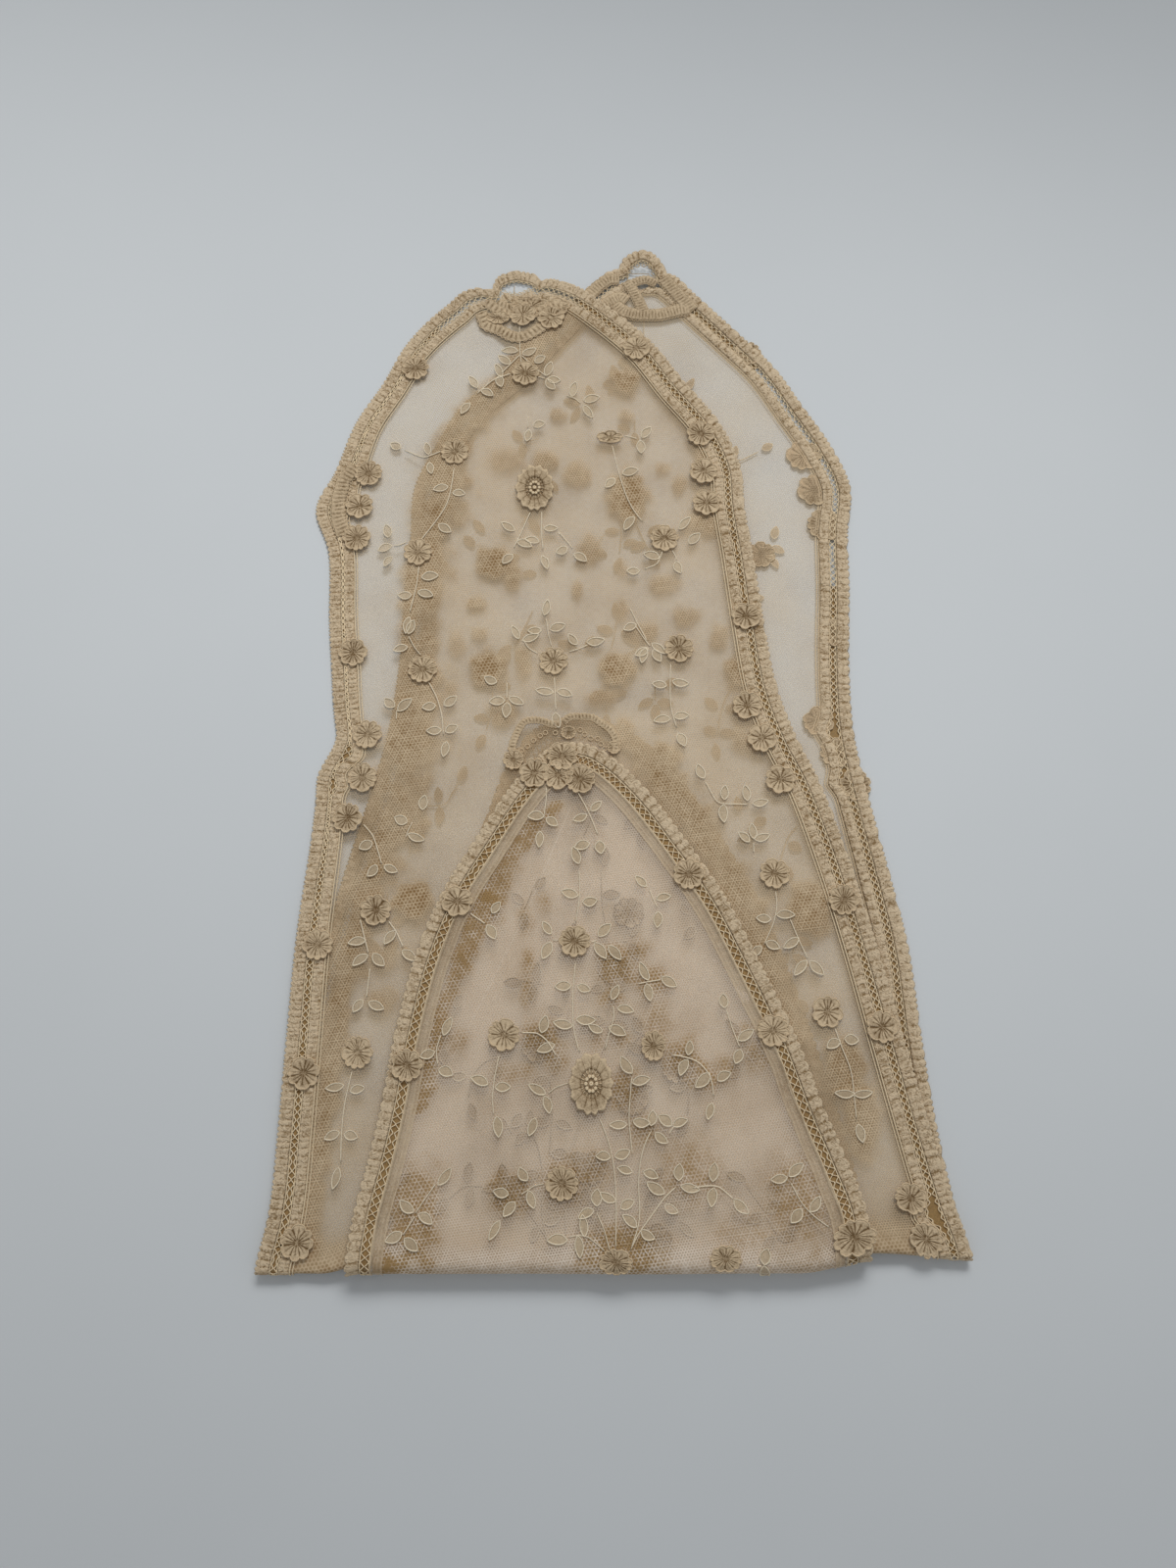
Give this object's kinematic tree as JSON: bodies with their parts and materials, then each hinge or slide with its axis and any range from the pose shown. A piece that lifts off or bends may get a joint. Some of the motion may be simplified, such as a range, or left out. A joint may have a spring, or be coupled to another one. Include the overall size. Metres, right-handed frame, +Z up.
{
  "type": "folded lace veil",
  "caption": "Two-tier net lace veil lying folded in half: scalloped tape borders with an open thread ladder, gathered tape rosettes and fine net grounds.",
  "frame": {"origin": "centre of the folded veil's outline, on the surface that it lies on", "axes": "+Z up from the surface, +Y from the crease towards the two long points, +X to the right as seen from the crease"},
  "size_m": [0.328, 0.5496, 0.0162],
  "materials": {
    "net": "matte",
    "tape": "matte",
    "ladder_thread": "matte",
    "rosette": "matte"
  },
  "bodies": {
    "root": {"long_net": "net", "long_outer_tape": "tape", "long_ladder": "ladder_thread", "long_inner_tape": "tape", "short_net": "net", "short_outer_tape": "tape", "short_ladder": "ladder_thread", "short_hem": "tape", "long_border_rosette_left_tip_single": "rosette", "long_border_rosette_left_upper_cluster": "rosette", "long_border_rosette_left_upper_single": "rosette", "long_border_rosette_left_lower_cluster": "rosette", "long_border_rosette_left_lower_single": "rosette", "long_border_rosette_left_side_single": "rosette", "long_border_rosette_left_crease_single": "rosette", "long_border_rosette_right_tip_single": "rosette", "long_border_rosette_right_upper_cluster": "rosette", "long_border_rosette_right_upper_single": "rosette", "long_border_rosette_right_lower_cluster": "rosette", "long_border_rosette_right_lower_single": "rosette", "long_border_rosette_right_side_single": "rosette", "long_border_rosette_right_crease_pair": "rosette", "long_border_rosette_point_pair": "rosette", "long_ground_rosette_point": "rosette", "long_ground_rosette_upper_left": "rosette", "long_ground_rosette_large": "rosette", "long_ground_rosette_upper_right": "rosette", "long_ground_rosette_middle_left": "rosette", "long_ground_rosette_middle_right": "rosette", "long_ground_rosette_lower_left": "rosette", "long_ground_rosette_lower_centre": "rosette", "long_ground_rosette_lower_right": "rosette", "long_ground_rosette_side_left": "rosette", "long_ground_rosette_side_right": "rosette", "long_ground_rosette_crease_left": "rosette", "long_ground_rosette_crease_right": "rosette", "long_rosette_back_tip_single": "rosette", "long_rosette_back_upper_cluster": "rosette", "long_rosette_back_upper_single": "rosette", "long_rosette_back_lower_cluster": "rosette", "long_rosette_back_ground": "rosette", "short_border_rosette_point_cluster": "rosette", "short_border_rosette_left_upper_single": "rosette", "short_border_rosette_left_lower_single": "rosette", "short_border_rosette_right_upper_single": "rosette", "short_border_rosette_right_lower_single": "rosette", "short_border_rosette_right_crease_single": "rosette", "short_ground_rosette_centre": "rosette", "short_ground_rosette_left": "rosette", "short_ground_rosette_large": "rosette", "short_ground_rosette_right": "rosette", "short_ground_rosette_lower_left": "rosette"}
  },
  "joints": []
}
